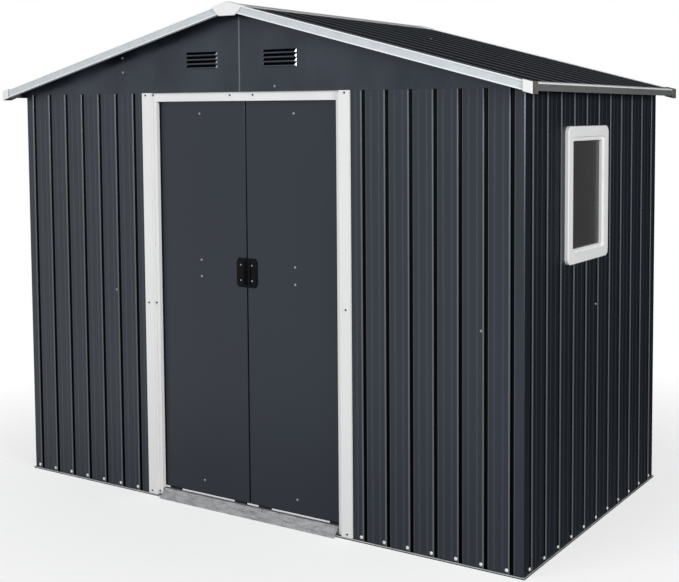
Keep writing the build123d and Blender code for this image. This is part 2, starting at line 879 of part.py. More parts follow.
# A handle is a plate with its outer corners cut, and an upright grip near the meeting edges
handle_inner = -(meeting_gap / 2 + handle_inset)
handle_outer = handle_inner - handle_width
handle_half = handle_height / 2
leaf_plane = Plane.XZ.offset(half_depth - leaf_front)
with BuildPart() as left_door_handle:
    with BuildSketch(leaf_plane):
        with BuildLine():
            Polyline(
                (handle_inner, handle_centre - handle_half),
                (handle_inner, handle_centre + handle_half),
                (handle_outer + handle_corner_width, handle_centre + handle_half),
                (handle_outer, handle_centre + handle_half - handle_corner_height),
                (handle_outer, handle_centre - handle_half + handle_corner_height),
                (handle_outer + handle_corner_width, handle_centre - handle_half),
                close=True,
            )
        make_face()
    extrude(amount=handle_plate)
    chamfer(left_door_handle.faces().sort_by(Axis.Y)[0].edges(), length=handle_bevel)
    with BuildSketch(leaf_plane.offset(handle_plate)):
        with Locations((handle_inner - grip_inset - grip_width / 2, handle_centre)):
            SlotOverall(grip_length, grip_width, rotation=90)
    extrude(amount=handle_depth - handle_plate)
    chamfer(left_door_handle.faces().sort_by(Axis.Y)[0].edges(), length=handle_bevel)
save(left_door_handle, "left_door_handle")

for piece, name in (
    (left_door_leaf, "leaf"),
    (left_door_braces, "braces"),
    (left_door_glides, "glides"),
    (left_door_handle, "handle"),
):
    with BuildPart() as right_piece:
        mirror(piece.part, about=Plane.YZ)
    save(right_piece, "right_door_" + name)
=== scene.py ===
import bpy
import bmesh
import math
from mathutils import Matrix, Vector


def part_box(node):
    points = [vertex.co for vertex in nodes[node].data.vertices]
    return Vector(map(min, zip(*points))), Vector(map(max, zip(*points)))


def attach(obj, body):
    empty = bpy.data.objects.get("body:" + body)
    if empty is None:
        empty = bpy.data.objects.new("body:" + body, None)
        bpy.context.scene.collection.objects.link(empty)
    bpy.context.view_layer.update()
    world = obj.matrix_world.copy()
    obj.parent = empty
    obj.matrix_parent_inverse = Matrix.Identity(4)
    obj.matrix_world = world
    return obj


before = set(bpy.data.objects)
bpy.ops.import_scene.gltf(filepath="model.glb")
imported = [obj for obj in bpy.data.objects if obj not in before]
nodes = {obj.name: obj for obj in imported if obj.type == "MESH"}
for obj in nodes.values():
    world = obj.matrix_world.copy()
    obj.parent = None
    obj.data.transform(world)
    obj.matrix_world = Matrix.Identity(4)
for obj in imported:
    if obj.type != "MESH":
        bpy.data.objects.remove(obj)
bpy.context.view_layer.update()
print("frame loaded:", len(nodes), "CAD pieces")

# The photograph's viewpoint, at chest height off the shed's right front corner
camera = {
    "place": (2.66813, -3.77939, 1.47402),
    "headingDeg": 31.051,  # left of straight back
    "downDeg": 3.799,
    "rollDeg": -0.152,
    "lens": 60.438,
    "sensor": 36.0,
    "shift": (-0.11856, -0.14967),
}

# A pale floor that fades into a white surround, and light that is bright in front and dim behind
studio = {
    "floorHalf": 14.0,
    "floorSeen": (0.93, 0.93, 0.93),
    "floorGives": (0.18, 0.18, 0.18),  # what the floor throws back on the shed
    "fadeFrom": 1.0,
    "fadeTo": 2.4,
    "fadeNear": 0.60,  # how clear the floor already is beside the shed
    "floorRough": 0.95,
    "surround": 1.0,
    "dimLight": 0.02,
    "brightLight": 0.92,
    "brightSide": (-0.50, -0.86, 0.08),
    "glowTurns": (0.0, 0.9),  # cosines of the turn from the bright side, dimmest and brightest
    "tint": (0.97, 0.99, 1.02),
}

# Soft boxes: where each stands, what it faces, its width and height in metres, and its watts
softBoxes = {
    "keyBox": {"place": (-2.0, -5.4, 4.6), "faces": (0.0, -0.4, 0.8), "size": (3.2, 2.4), "watts": 85},
    "cameraBox": {"place": (4.6, -6.6, 2.2), "faces": (0.3, -0.5, 0.8), "size": (1.4, 2.6), "watts": 40},
    "rightBox": {"place": (6.4, -2.6, 2.6), "faces": (1.1, 0.0, 0.9), "size": (2.2, 2.6), "watts": 330},
}


def addToScene(name, data):
    item = bpy.data.objects.new(name, data)
    bpy.context.scene.collection.objects.link(item)
    return item


def makeCamera():
    data = bpy.data.cameras.new("camera")
    data.sensor_fit = "HORIZONTAL"
    data.sensor_width = camera["sensor"]
    data.lens = camera["lens"]
    data.shift_x, data.shift_y = camera["shift"]
    item = addToScene("camera", data)
    heading = Matrix.Rotation(math.radians(camera["headingDeg"]), 4, "Z")
    tilt = Matrix.Rotation(math.radians(90.0 - camera["downDeg"]), 4, "X")
    roll = Matrix.Rotation(math.radians(camera["rollDeg"]), 4, "Z")
    item.matrix_world = Matrix.Translation(camera["place"]) @ heading @ tilt @ roll
    bpy.context.scene.camera = item


def makeSoftBoxes():
    for name, box in softBoxes.items():
        data = bpy.data.lights.new(name, "AREA")
        data.shape = "RECTANGLE"
        data.size, data.size_y = box["size"]
        data.energy = box["watts"]
        item = addToScene(name, data)
        aim = Vector(box["faces"]) - Vector(box["place"])
        turn = aim.to_track_quat("-Z", "Y").to_matrix().to_4x4()
        item.matrix_world = Matrix.Translation(box["place"]) @ turn


# Small helpers for node trees
def addNode(tree, kind, **settings):
    made = tree.nodes.new("ShaderNode" + kind)
    for key, value in settings.items():
        setattr(made, key, value)
    return made


def newMaterial(name):
    material = bpy.data.materials.new(name)
    material.use_nodes = True
    return material, material.node_tree, material.node_tree.nodes["Principled BSDF"]


def objectPlace(tree, stretch=(1.0, 1.0, 1.0)):
    place = addNode(tree, "TexCoord")
    mapping = addNode(tree, "Mapping")
    mapping.inputs["Scale"].default_value = stretch
    tree.links.new(place.outputs["Object"], mapping.inputs["Vector"])
    return mapping.outputs["Vector"]


def noisePattern(tree, scale, detail=2.0, roughness=0.5, stretch=(1.0, 1.0, 1.0)):
    noise = addNode(tree, "TexNoise")
    noise.inputs["Scale"].default_value = scale
    noise.inputs["Detail"].default_value = detail
    noise.inputs["Roughness"].default_value = roughness
    tree.links.new(objectPlace(tree, stretch), noise.inputs["Vector"])
    return noise.outputs["Fac"]


def mapTo(tree, source, low, high, fromLow=0.3, fromHigh=0.7):
    made = addNode(tree, "MapRange")
    for key, value in (("From Min", fromLow), ("From Max", fromHigh), ("To Min", low), ("To Max", high)):
        made.inputs[key].default_value = value
    tree.links.new(source, made.inputs["Value"])
    return made.outputs["Result"]


def calculate(tree, operation, first, second):
    made = addNode(tree, "Math", operation=operation)
    for socket, value in ((made.inputs[0], first), (made.inputs[1], second)):
        if isinstance(value, float):
            socket.default_value = value
        else:
            tree.links.new(value, socket)
    return made.outputs[0]


def blendColors(tree, factor, first, second):
    mix = addNode(tree, "Mix", data_type="RGBA")
    tree.links.new(factor, mix.inputs[0])
    for socket, color in ((mix.inputs[6], first), (mix.inputs[7], second)):
        if isinstance(color, tuple):
            socket.default_value = (*color, 1.0)
        else:
            tree.links.new(color, socket)
    return mix.outputs[2]


def addBump(tree, shader, layers):
    # Each layer is a height pattern and its depth in metres
    last = None
    for source, depth in layers:
        made = addNode(tree, "Bump")
        made.inputs["Distance"].default_value = depth
        tree.links.new(source, made.inputs["Height"])
        if last:
            tree.links.new(last, made.inputs["Normal"])
        last = made.outputs["Normal"]
    tree.links.new(last, shader.inputs["Normal"])


def objectAxes(tree):
    axes = addNode(tree, "SeparateXYZ")
    tree.links.new(objectPlace(tree), axes.inputs[0])
    return axes.outputs


def makeSurround():
    world = bpy.data.worlds.new("studio")
    bpy.context.scene.world = world
    world.use_nodes = True
    tree = world.node_tree
    tree.nodes.clear()
    out = addNode(tree, "OutputWorld")
    seen = addNode(tree, "Background")
    lit = addNode(tree, "Background")
    pick = addNode(tree, "MixShader")
    path = addNode(tree, "LightPath")
    direction = addNode(tree, "TexCoord")
    toward = addNode(tree, "VectorMath", operation="DOT_PRODUCT")
    toward.inputs[1].default_value = Vector(studio["brightSide"]).normalized()
    tree.links.new(direction.outputs["Generated"], toward.inputs[0])
    dim, bright = studio["dimLight"], studio["brightLight"]
    glow = mapTo(tree, toward.outputs["Value"], dim, bright, *studio["glowTurns"])
    seen.inputs["Strength"].default_value = studio["surround"]
    seen.inputs["Color"].default_value = (1.0, 1.0, 1.0, 1.0)
    lit.inputs["Color"].default_value = (*studio["tint"], 1.0)
    tree.links.new(glow, lit.inputs["Strength"])
    tree.links.new(path.outputs["Is Camera Ray"], pick.inputs[0])
    tree.links.new(lit.outputs[0], pick.inputs[1])
    tree.links.new(seen.outputs[0], pick.inputs[2])
    tree.links.new(pick.outputs[0], out.inputs["Surface"])


def makeFloor():
    bm = bmesh.new()
    bmesh.ops.create_grid(bm, x_segments=1, y_segments=1, size=studio["floorHalf"])
    mesh = bpy.data.meshes.new("floor")
    bm.to_mesh(mesh)
    bm.free()
    floor = addToScene("floor", mesh)
    material, tree, shader = newMaterial("paleFloor")
    path = addNode(tree, "LightPath")
    color = blendColors(tree, path.outputs["Is Camera Ray"], studio["floorGives"], studio["floorSeen"])
    tree.links.new(color, shader.inputs["Base Color"])
    shader.inputs["Roughness"].default_value = studio["floorRough"]
    shader.inputs["Specular IOR Level"].default_value = 0.0
    reach = addNode(tree, "VectorMath", operation="LENGTH")
    tree.links.new(objectPlace(tree), reach.inputs[0])
    near, far = studio["fadeFrom"], studio["fadeTo"]
    fade = mapTo(tree, reach.outputs["Value"], studio["fadeNear"], 1.0, near, far)
    clear = addNode(tree, "BsdfTransparent")
    pick = addNode(tree, "MixShader")
    tree.links.new(fade, pick.inputs[0])
    tree.links.new(shader.outputs[0], pick.inputs[1])
    tree.links.new(clear.outputs[0], pick.inputs[2])
    tree.links.new(pick.outputs[0], tree.nodes["Material Output"].inputs["Surface"])
    mesh.materials.append(material)


makeCamera()
makeSurround()
makeSoftBoxes()
makeFloor()
bpy.context.scene.view_settings.view_transform = "Standard"
print("studio ready:", len(softBoxes), "soft boxes")


# The roof's plane, from the highest points of the ridge cap and of the eave trims
def highestPoint(nodeName):
    return max((vertex.co for vertex in nodes[nodeName].data.vertices), key=lambda point: point.z)


ridgeTop = highestPoint("ridge_cap").z
eaveTop = highestPoint("eave_trims")
roofSlope = (ridgeTop - eaveTop.z) / abs(eaveTop.x)

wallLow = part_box("corner_front_left")[0]
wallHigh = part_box("corner_back_right")[1]
sheetTop = highestPoint("roof_sheet_right")
roofFlatDrop = ridgeTop - sheetTop.z - roofSlope * sheetTop.x
gableFaces = {"left": -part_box("back_gable_left")[1].y, "right": -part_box("back_gable_right")[1].y}


# Depth of a point under the flats of its wall sheet, or of its roof sheet
def depthInWall(tree):
    axes = objectAxes(tree)
    acrossX = calculate(tree, "SUBTRACT", wallHigh.x, calculate(tree, "ABSOLUTE", axes["X"], 0.0))
    acrossY = calculate(tree, "SUBTRACT", wallHigh.y, calculate(tree, "ABSOLUTE", axes["Y"], 0.0))
    return calculate(tree, "MINIMUM", acrossX, acrossY)


def belowRoof(tree):
    axes = objectAxes(tree)
    across = calculate(tree, "MULTIPLY", calculate(tree, "ABSOLUTE", axes["X"], 0.0), roofSlope)
    return calculate(tree, "SUBTRACT", ridgeTop, calculate(tree, "ADD", axes["Z"], across))


def depthInRoof(tree):
    return calculate(tree, "SUBTRACT", belowRoof(tree), roofFlatDrop)


# How far a face is turned out of the plane of its wall sheet, or of its roof sheet
def turnInWall(tree):
    facing = addNode(tree, "SeparateXYZ")
    tree.links.new(addNode(tree, "NewGeometry").outputs["Normal"], facing.inputs[0])
    turns = [calculate(tree, "ABSOLUTE", facing.outputs[axis], 0.0) for axis in ("X", "Y")]
    return calculate(tree, "MINIMUM", *turns)


def turnInRoof(tree):
    facing = addNode(tree, "SeparateXYZ")
    tree.links.new(addNode(tree, "NewGeometry").outputs["Normal"], facing.inputs[0])
    return calculate(tree, "ABSOLUTE", facing.outputs["Y"], 0.0)


# Painted sheet: satin enamel, a little cloudy, with orange peel and slow waves from rolling
paints = {
    "wallPaint": {
        "dark": (0.0085, 0.0110, 0.0150), "light": (0.0110, 0.0142, 0.0190), "roughness": (0.26, 0.34),
        "cloud": 2.2, "stretch": (1.0, 1.0, 0.25), "waveDepth": 0.0006,
    },
    # On the gable the wide spread from dark to light is partly the enamel's uneven tone and partly painted
    # reflection: soft cloudy patches of light
    "gablePaint": {
        "dark": (0.0035, 0.0050, 0.0085), "light": (0.0200, 0.0250, 0.0340), "roughness": (0.22, 0.38),
        "cloud": 5.5, "stretch": (1.0, 1.0, 0.7), "waveDepth": 0.0035,
    },
    "doorPaint": {
        "dark": (0.0065, 0.0090, 0.0130), "light": (0.0090, 0.0120, 0.0175), "roughness": (0.26, 0.34),
        "cloud": 1.4, "stretch": (1.0, 1.0, 0.6), "waveDepth": 0.0012,
    },
    "roofPaint": {
        "dark": (0.0060, 0.0080, 0.0105), "light": (0.0090, 0.0110, 0.0145), "roughness": (0.34, 0.44),
        "cloud": 2.0, "stretch": (1.0, 1.0, 1.0), "waveDepth": 0.0006,
    },
}
paintGlint = {"level": 0.55, "tint": (0.80, 0.88, 1.0)}  # the dark enamel's bluish reflections
paintGrain = {"wavesPerCloud": 1.7, "peel": 520.0, "peelDepth": 0.000015}
# Painted light and shade on a sheet's relief: a painted sheen on the flutes, a painted highlight on the thin
# bends and painted shade, near black, in the grooves. Depths are in metres under the flats; turns are the
# sines of the angles between the bends' facets and the flats.
sheetLightAndShade = {
    "fluteSheen": (0.0245, 0.0285, 0.0385), "fluteFrom": 0.0002,
    "bend": (0.094, 0.101, 0.108), "bendTurns": (0.40, 0.65),
    "groove": (0.0050, 0.0056, 0.0066), "grooveFrom": 0.0033,
}
reliefs = {"wallPaint": (depthInWall, turnInWall), "roofPaint": (depthInRoof, turnInRoof)}


def layPaintedLightAndShade(tree, shader, color, findDepth, findTurn):
    # Painted shade: near black metal, which shows almost no glints, fills the grooves; flutes get a painted
    # sheen and bends a painted highlight
    depth = findDepth(tree)
    turn = findTurn(tree)
    least, most = sheetLightAndShade["bendTurns"]
    fluteSheen = calculate(tree, "GREATER_THAN", depth, sheetLightAndShade["fluteFrom"])
    turned = calculate(tree, "GREATER_THAN", turn, least)
    bend = calculate(tree, "MULTIPLY", turned, calculate(tree, "LESS_THAN", turn, most))
    groove = calculate(tree, "GREATER_THAN", depth, sheetLightAndShade["grooveFrom"])
    color = blendColors(tree, fluteSheen, color, sheetLightAndShade["fluteSheen"])
    color = blendColors(tree, bend, color, sheetLightAndShade["bend"])
    tree.links.new(groove, shader.inputs["Metallic"])
    return blendColors(tree, groove, color, sheetLightAndShade["groove"])


# Vents: their hoods stand proud, with painted shade that makes them black inside, a painted highlight along
# the thin front edge and painted glints at the ends
ventLightAndShade = {
    "shade": (0.0015, 0.0018, 0.0024), "shadeFrom": 0.0008,
    "edge": (0.050, 0.056, 0.066), "edgeFrom": 0.0062,
    "glint": (0.62, 0.65, 0.70), "middle": 0.180, "glintFrom": 0.0705,
    "glintShares": (0.22, 1.0), "glintAcross": (-0.02, 0.45),  # glints grow brighter to the right
}


def layVentLightAndShade(tree, shader, color):
    axes = objectAxes(tree)
    onRight = calculate(tree, "GREATER_THAN", axes["X"], 0.0)
    faceY = mapTo(tree, onRight, -gableFaces["left"], -gableFaces["right"], 0.0, 1.0)
    proud = calculate(tree, "SUBTRACT", calculate(tree, "MULTIPLY", axes["Y"], -1.0), faceY)
    shade = calculate(tree, "GREATER_THAN", proud, ventLightAndShade["shadeFrom"])
    edge = calculate(tree, "GREATER_THAN", proud, ventLightAndShade["edgeFrom"])
    aside = calculate(tree, "SUBTRACT", calculate(tree, "ABSOLUTE", axes["X"], 0.0), ventLightAndShade["middle"])
    atEnd = calculate(tree, "GREATER_THAN", calculate(tree, "ABSOLUTE", aside, 0.0), ventLightAndShade["glintFrom"])
    strength = mapTo(tree, axes["X"], *ventLightAndShade["glintShares"], *ventLightAndShade["glintAcross"])
    glint = calculate(tree, "MULTIPLY", calculate(tree, "MULTIPLY", atEnd, shade), strength)
    # Painted shade in the hoods, a painted highlight on their front edge and painted glints at their ends
    color = blendColors(tree, shade, color, ventLightAndShade["shade"])
    color = blendColors(tree, edge, color, ventLightAndShade["edge"])
    # Near black metal in the hoods shows almost no glints: painted shade
    tree.links.new(calculate(tree, "SUBTRACT", shade, edge), shader.inputs["Metallic"])
    return blendColors(tree, glint, color, ventLightAndShade["glint"])


def makePaint(name):
    paint = paints[name]
    material, tree, shader = newMaterial(name)
    cloud = noisePattern(tree, paint["cloud"], 3.0, 0.5, paint["stretch"])
    wave = noisePattern(tree, paint["cloud"] * paintGrain["wavesPerCloud"], 1.0, 0.4, paint["stretch"])
    peel = noisePattern(tree, paintGrain["peel"], 1.0, 0.5)
    color = blendColors(tree, mapTo(tree, cloud, 0.0, 1.0), paint["dark"], paint["light"])
    if name in reliefs:
        color = layPaintedLightAndShade(tree, shader, color, *reliefs[name])
    if name == "gablePaint":
        color = layVentLightAndShade(tree, shader, color)
    tree.links.new(color, shader.inputs["Base Color"])
    tree.links.new(mapTo(tree, cloud, *paint["roughness"]), shader.inputs["Roughness"])
    shader.inputs["Specular IOR Level"].default_value = paintGlint["level"]
    shader.inputs["Specular Tint"].default_value = (*paintGlint["tint"], 1.0)
    addBump(tree, shader, [(wave, paint["waveDepth"]), (peel, paintGrain["peelDepth"])])
    return material


# White enamel and white moulded plastic, a little dusty in places
whites = {
    "whitePaint": {
        "dark": (0.740, 0.735, 0.720), "light": (0.800, 0.797, 0.785),
        "cloud": 3.0, "grain": 520.0,
    },
    "whitePlastic": {
        "dark": (0.770, 0.775, 0.770), "light": (0.830, 0.833, 0.830),
        "cloud": 7.0, "grain": 900.0,
    },
}
whiteSurface = {"stretch": (1.0, 1.0, 0.4), "roughness": (0.42, 0.34)}
grainDepth = 0.00002  # metres, of white paint and all moulded plastic


def makeWhite(name):
    white = whites[name]
    material, tree, shader = newMaterial(name)
    cloud = noisePattern(tree, white["cloud"], 3.0, 0.5, whiteSurface["stretch"])
    grain = noisePattern(tree, white["grain"], 1.0, 0.5)
    color = blendColors(tree, mapTo(tree, cloud, 0.0, 1.0), white["dark"], white["light"])
    tree.links.new(color, shader.inputs["Base Color"])
    tree.links.new(mapTo(tree, cloud, *whiteSurface["roughness"]), shader.inputs["Roughness"])
    addBump(tree, shader, [(grain, grainDepth)])
    return material


# Dark moulded plastic: even colour with a fine grain. The glint is the shader's specular level.
plastics = {
    "blackPlastic": {
        "dark": (0.0018, 0.0018, 0.0020), "light": (0.0035, 0.0035, 0.0038),
        "roughness": (0.30, 0.42), "glint": 0.08,
    },
    "glidePlastic": {
        "dark": (0.030, 0.030, 0.030), "light": (0.050, 0.050, 0.050),
        "roughness": (0.45, 0.55), "glint": 0.5,
    },
    "greyPane": {
        "dark": (0.043, 0.043, 0.043), "light": (0.047, 0.047, 0.047),
        "roughness": (0.22, 0.28), "glint": 0.5,
    },
}
plasticGrain = {"cloud": 7.0, "grain": 900.0}


def makePlastic(name):
    plastic = plastics[name]
    material, tree, shader = newMaterial(name)
    cloud = noisePattern(tree, plasticGrain["cloud"], 2.0, 0.5)
    grain = noisePattern(tree, plasticGrain["grain"], 1.0, 0.5)
    color = blendColors(tree, mapTo(tree, cloud, 0.0, 1.0), plastic["dark"], plastic["light"])
    tree.links.new(color, shader.inputs["Base Color"])
    tree.links.new(mapTo(tree, cloud, *plastic["roughness"]), shader.inputs["Roughness"])
    shader.inputs["Specular IOR Level"].default_value = plastic["glint"]
    addBump(tree, shader, [(grain, grainDepth)])
    return material


# Zinc coated steel: a fine mottled spangle over slow pale streaks
zincs = {
    "galvanised": {
        "dark": (0.30, 0.31, 0.31), "light": (0.56, 0.57, 0.57),
        "metallic": 0.75, "spangle": 130.0,
    },
    "sillZinc": {
        "dark": (0.175, 0.18, 0.183), "light": (0.42, 0.425, 0.43),
        "metallic": 0.35, "spangle": 170.0,
    },
    "screwZinc": {
        "dark": (0.72, 0.72, 0.71), "light": (0.86, 0.86, 0.85),
        "metallic": 0.4, "spangle": 300.0,
    },
    "dullZinc": {
        "dark": (0.26, 0.26, 0.265), "light": (0.42, 0.42, 0.425),
        "metallic": 0.4, "spangle": 300.0,
    },
    "darkZinc": {
        "dark": (0.030, 0.030, 0.030), "light": (0.070, 0.070, 0.070),
        "metallic": 0.4, "spangle": 300.0,
    },
}
zincSurface = {
    "streak": 24.0, "streakStretch": (1.0, 4.0, 4.0), "mottleRange": (0.75, 1.25),
    "roughness": (0.32, 0.52), "depth": 0.00006,
}


def makeZinc(name):
    zinc = zincs[name]
    material, tree, shader = newMaterial(name)
    fine = noisePattern(tree, zinc["spangle"], 3.0, 0.7)
    streak = noisePattern(tree, zincSurface["streak"], 3.0, 0.6, zincSurface["streakStretch"])
    mottle = calculate(tree, "ADD", fine, streak)
    ends = zincSurface["mottleRange"]
    color = blendColors(tree, mapTo(tree, mottle, 0.0, 1.0, *ends), zinc["dark"], zinc["light"])
    tree.links.new(color, shader.inputs["Base Color"])
    rough = mapTo(tree, mottle, *zincSurface["roughness"], *ends)
    tree.links.new(rough, shader.inputs["Roughness"])
    shader.inputs["Metallic"].default_value = zinc["metallic"]
    addBump(tree, shader, [(mottle, zincSurface["depth"])])
    return material


# Floor rails: bright zinc on the lip, with painted shade under it
railFinish = {
    "bright": ((0.42, 0.43, 0.43), (0.62, 0.63, 0.63)),
    "lipShade": (0.012, 0.012, 0.012),
    "lipShadeTop": 0.0034,  # height above the ground
    "metallic": 0.3,
}
# Rake trims: pale blue zinc faces between hems whitened with a painted highlight, as depths below the roof's
# plane
rakeFinish = {
    "face": ((0.50, 0.545, 0.565), (0.58, 0.625, 0.645)),
    "hem": (0.80, 0.81, 0.81),
    "topHemHighlight": 0.0043,
    "footHemHighlight": 0.0266,
}
# Eave trims: a white top edge, a dark upper band and a slightly lighter one folded in under it
eaveFinish = {
    "upper": ((0.110, 0.120, 0.118), (0.135, 0.146, 0.144)),
    "lower": (0.145, 0.156, 0.152),
    "edge": (0.82, 0.83, 0.83),
    "edgeDrop": 0.0036,  # below the trim's outer top corner
    "foldDrop": 0.0135,
}
# Moulded corner caps: white front skins on a dark body, which is painted shade
capFinish = {
    "front": (0.78, 0.78, 0.77),
    "body": ((0.105, 0.096, 0.085), (0.160, 0.150, 0.135)),
    "skin": 0.0026,
}
trimSurface = {"mottle": 45.0, "stretch": (0.4, 0.4, 1.0), "roughness": (0.30, 0.44), "depth": 0.00008}


def finishTrim(name, body, masks, metallic=0.0):
    # body is a pair of tones; each mask is a function and the colour that it lays over them
    material, tree, shader = newMaterial(name)
    mottle = noisePattern(tree, trimSurface["mottle"], 3.0, 0.6, trimSurface["stretch"])
    color = blendColors(tree, mapTo(tree, mottle, 0.0, 1.0), *body)
    for makeMask, over in masks:
        color = blendColors(tree, makeMask(tree), color, over)
    tree.links.new(color, shader.inputs["Base Color"])
    tree.links.new(mapTo(tree, mottle, *trimSurface["roughness"]), shader.inputs["Roughness"])
    shader.inputs["Metallic"].default_value = metallic
    addBump(tree, shader, [(mottle, trimSurface["depth"])])
    return material


def makeRailFinish():
    def underLip(tree):
        return calculate(tree, "LESS_THAN", objectAxes(tree)["Z"], railFinish["lipShadeTop"])

    # The near black band under the lip is painted shade
    masks = [(underLip, railFinish["lipShade"])]
    return finishTrim("railZinc", railFinish["bright"], masks, railFinish["metallic"])


def makeRakeFinish():
    def topHemHighlight(tree):
        return calculate(tree, "LESS_THAN", belowRoof(tree), rakeFinish["topHemHighlight"])

    def footHemHighlight(tree):
        return calculate(tree, "GREATER_THAN", belowRoof(tree), rakeFinish["footHemHighlight"])

    # The hems' white is a painted highlight along their rounded edges
    hem = rakeFinish["hem"]
    return finishTrim("rakeZinc", rakeFinish["face"], [(topHemHighlight, hem), (footHemHighlight, hem)])


def makeEaveFinish():
    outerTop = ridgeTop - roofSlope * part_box("eave_trims")[1].x

    def underFold(tree):
        return calculate(tree, "LESS_THAN", objectAxes(tree)["Z"], outerTop - eaveFinish["foldDrop"])

    def topEdge(tree):
        return calculate(tree, "GREATER_THAN", objectAxes(tree)["Z"], outerTop - eaveFinish["edgeDrop"])

    masks = [(underFold, eaveFinish["lower"]), (topEdge, eaveFinish["edge"])]
    return finishTrim("eaveZinc", eaveFinish["upper"], masks)


def makeCapFinish():
    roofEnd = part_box("eave_corner_caps")[1].y

    def frontSkin(tree):
        away = calculate(tree, "ABSOLUTE", objectAxes(tree)["Y"], 0.0)
        return calculate(tree, "GREATER_THAN", away, roofEnd - capFinish["skin"])

    # The dark body tone is painted shade on the white caps' sides and backs
    return finishTrim("capPlastic", capFinish["body"], [(frontSkin, capFinish["front"])])


makers = {name: makePaint for name in paints}
makers.update({name: makeWhite for name in whites})
makers.update({name: makePlastic for name in plastics})
makers.update({name: makeZinc for name in zincs})
materials = {name: maker(name) for name, maker in makers.items()}
materials["railZinc"] = makeRailFinish()
materials["rakeZinc"] = makeRakeFinish()
materials["eaveZinc"] = makeEaveFinish()
materials["capPlastic"] = makeCapFinish()
print("materials made:", len(materials))

# Which finish each CAD piece gets, by the first of these words that its name holds
finishes = {
    "gable": "gablePaint",
    "roof_sheet": "roofPaint",
    "leaf": "doorPaint",
    "wall": "wallPaint",
    "corner_caps": "capPlastic",
    "corner": "wallPaint",
    "jamb": "whitePaint",
    "header": "whitePaint",
    "ridge_cap": "whitePaint",
    "end_caps": "whitePlastic",
    "window_frame": "whitePlastic",
    "pane": "greyPane",
    "rake_trims": "rakeZinc",
    "eave_trims": "eaveZinc",
    "floor_rail": "railZinc",
    "sill": "sillZinc",
    "handle": "blackPlastic",
    "glides": "glidePlastic",
    "": "galvanised",
}
for name, piece in nodes.items():
    finish = next(value for word, value in finishes.items() if word in name)
    for index in range(len(piece.data.materials)):
        piece.data.materials[index] = materials[finish]
print("finishes laid on the CAD pieces")

# Screws: radii, thicknesses and depths in metres. The shank is hidden in the sheet.
screwKinds = {
    "base": {
        "washer": 0.0062, "thick": 0.0010, "head": 0.0040, "tall": 0.0026,
        "socket": 0.0014, "deep": 0.0012,
    },
    "lap": {
        "washer": 0.0044, "thick": 0.0007, "head": 0.0031, "tall": 0.0020,
        "socket": 0.0011, "deep": 0.0010,
    },
    "leaf": {
        "washer": 0.0046, "thick": 0.0007, "head": 0.0033, "tall": 0.0021,
        "socket": 0.0012, "deep": 0.0010,
    },
    "jamb": {
        "washer": 0.0072, "thick": 0.0009, "head": 0.0038, "tall": 0.0024,
        "socket": 0.0014, "deep": 0.0012,
    },
    "handle": {
        "washer": 0.0042, "thick": 0.0006, "head": 0.0032, "tall": 0.0018,
        "socket": 0.0012, "deep": 0.0010,
    },
}
# Shares of the head's radius and height where it rounds off, and of the washer's where it slopes
screwShape = {
    "sides": 18, "flat": 0.62, "shoulder": 0.90, "shoulderDrop": 0.30, "sideDrop": 0.65,
    "rim": 0.94, "rimUp": 0.55, "level": 0.97,
}


def spinScrew(kind):
    # Half the outline, from the socket's middle over the head and the washer to the middle beneath
    size = screwKinds[kind]
    shape = screwShape
    top = size["thick"] + size["tall"]
    outline = (
        (0.0, top - size["deep"]),
        (size["socket"], top - size["deep"]),
        (size["socket"], top),
        (size["head"] * shape["flat"], top),
        (size["head"] * shape["shoulder"], top - size["tall"] * shape["shoulderDrop"]),
        (size["head"], top - size["tall"] * shape["sideDrop"]),
        (size["head"], size["thick"]),
        (size["washer"] * shape["rim"], size["thick"]),
        (size["washer"], size["thick"] * shape["rimUp"]),
        (size["washer"], 0.0),
        (0.0, 0.0),
    )
    bm = bmesh.new()
    points = [bm.verts.new((across, 0.0, up)) for across, up in outline]
    edges = [bm.edges.new(pair) for pair in zip(points, points[1:])]
    bmesh.ops.spin(
        bm, geom=points + edges, cent=(0, 0, 0), axis=(0, 0, 1), dvec=(0, 0, 0),
        angle=math.tau, steps=shape["sides"], use_merge=True,
    )
    bmesh.ops.remove_doubles(bm, verts=bm.verts, dist=0.000001)
    bmesh.ops.recalc_face_normals(bm, faces=bm.faces)
    for face in bm.faces:
        middle = face.calc_center_median()
        face.material_index = int(math.hypot(middle.x, middle.y) > size["head"])
        face.smooth = abs(face.normal.z) < shape["level"]
    mesh = bpy.data.meshes.new(kind + "Screw")
    bm.to_mesh(mesh)
    bm.free()
    return mesh


screwMeshes = {kind: spinScrew(kind) for kind in screwKinds}
# The materials of each kind's head and washer
screwFinishes = {
    "base": ("screwZinc", "screwZinc"),
    "lap": ("dullZinc", "dullZinc"),
    "leaf": ("dullZinc", "dullZinc"),
    "jamb": ("darkZinc", "whitePlastic"),
    "handle": ("dullZinc", "darkZinc"),
}


def addScrews(name, kind, places, outward, body="shed"):
    turn = Vector((0.0, 0.0, 1.0)).rotation_difference(Vector(outward)).to_matrix().to_4x4()
    bm = bmesh.new()
    for place in places:
        before = len(bm.verts)
        bm.from_mesh(screwMeshes[kind])
        bm.verts.ensure_lookup_table()
        bmesh.ops.transform(bm, matrix=Matrix.Translation(place) @ turn, verts=bm.verts[before:])
    mesh = bpy.data.meshes.new(name)
    bm.to_mesh(mesh)
    bm.free()
    piece = addToScene(name, mesh)
    for material in screwFinishes[kind]:
        mesh.materials.append(materials[material])
    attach(piece, body)
    print(name, "-", len(places), "screws")


# The faces that the screws sit on
jambLow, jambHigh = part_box("door_jamb_left")
headerLow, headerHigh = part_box("door_header")
leafLow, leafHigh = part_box("right_door_leaf")
braceLow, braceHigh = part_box("right_door_braces")
front, back, left, right = (0, -1, 0), (0, 1, 0), (-1, 0, 0), (1, 0, 0)


def evenly(first, last, count):
    return [first + (last - first) * index / (count - 1) for index in range(count)]


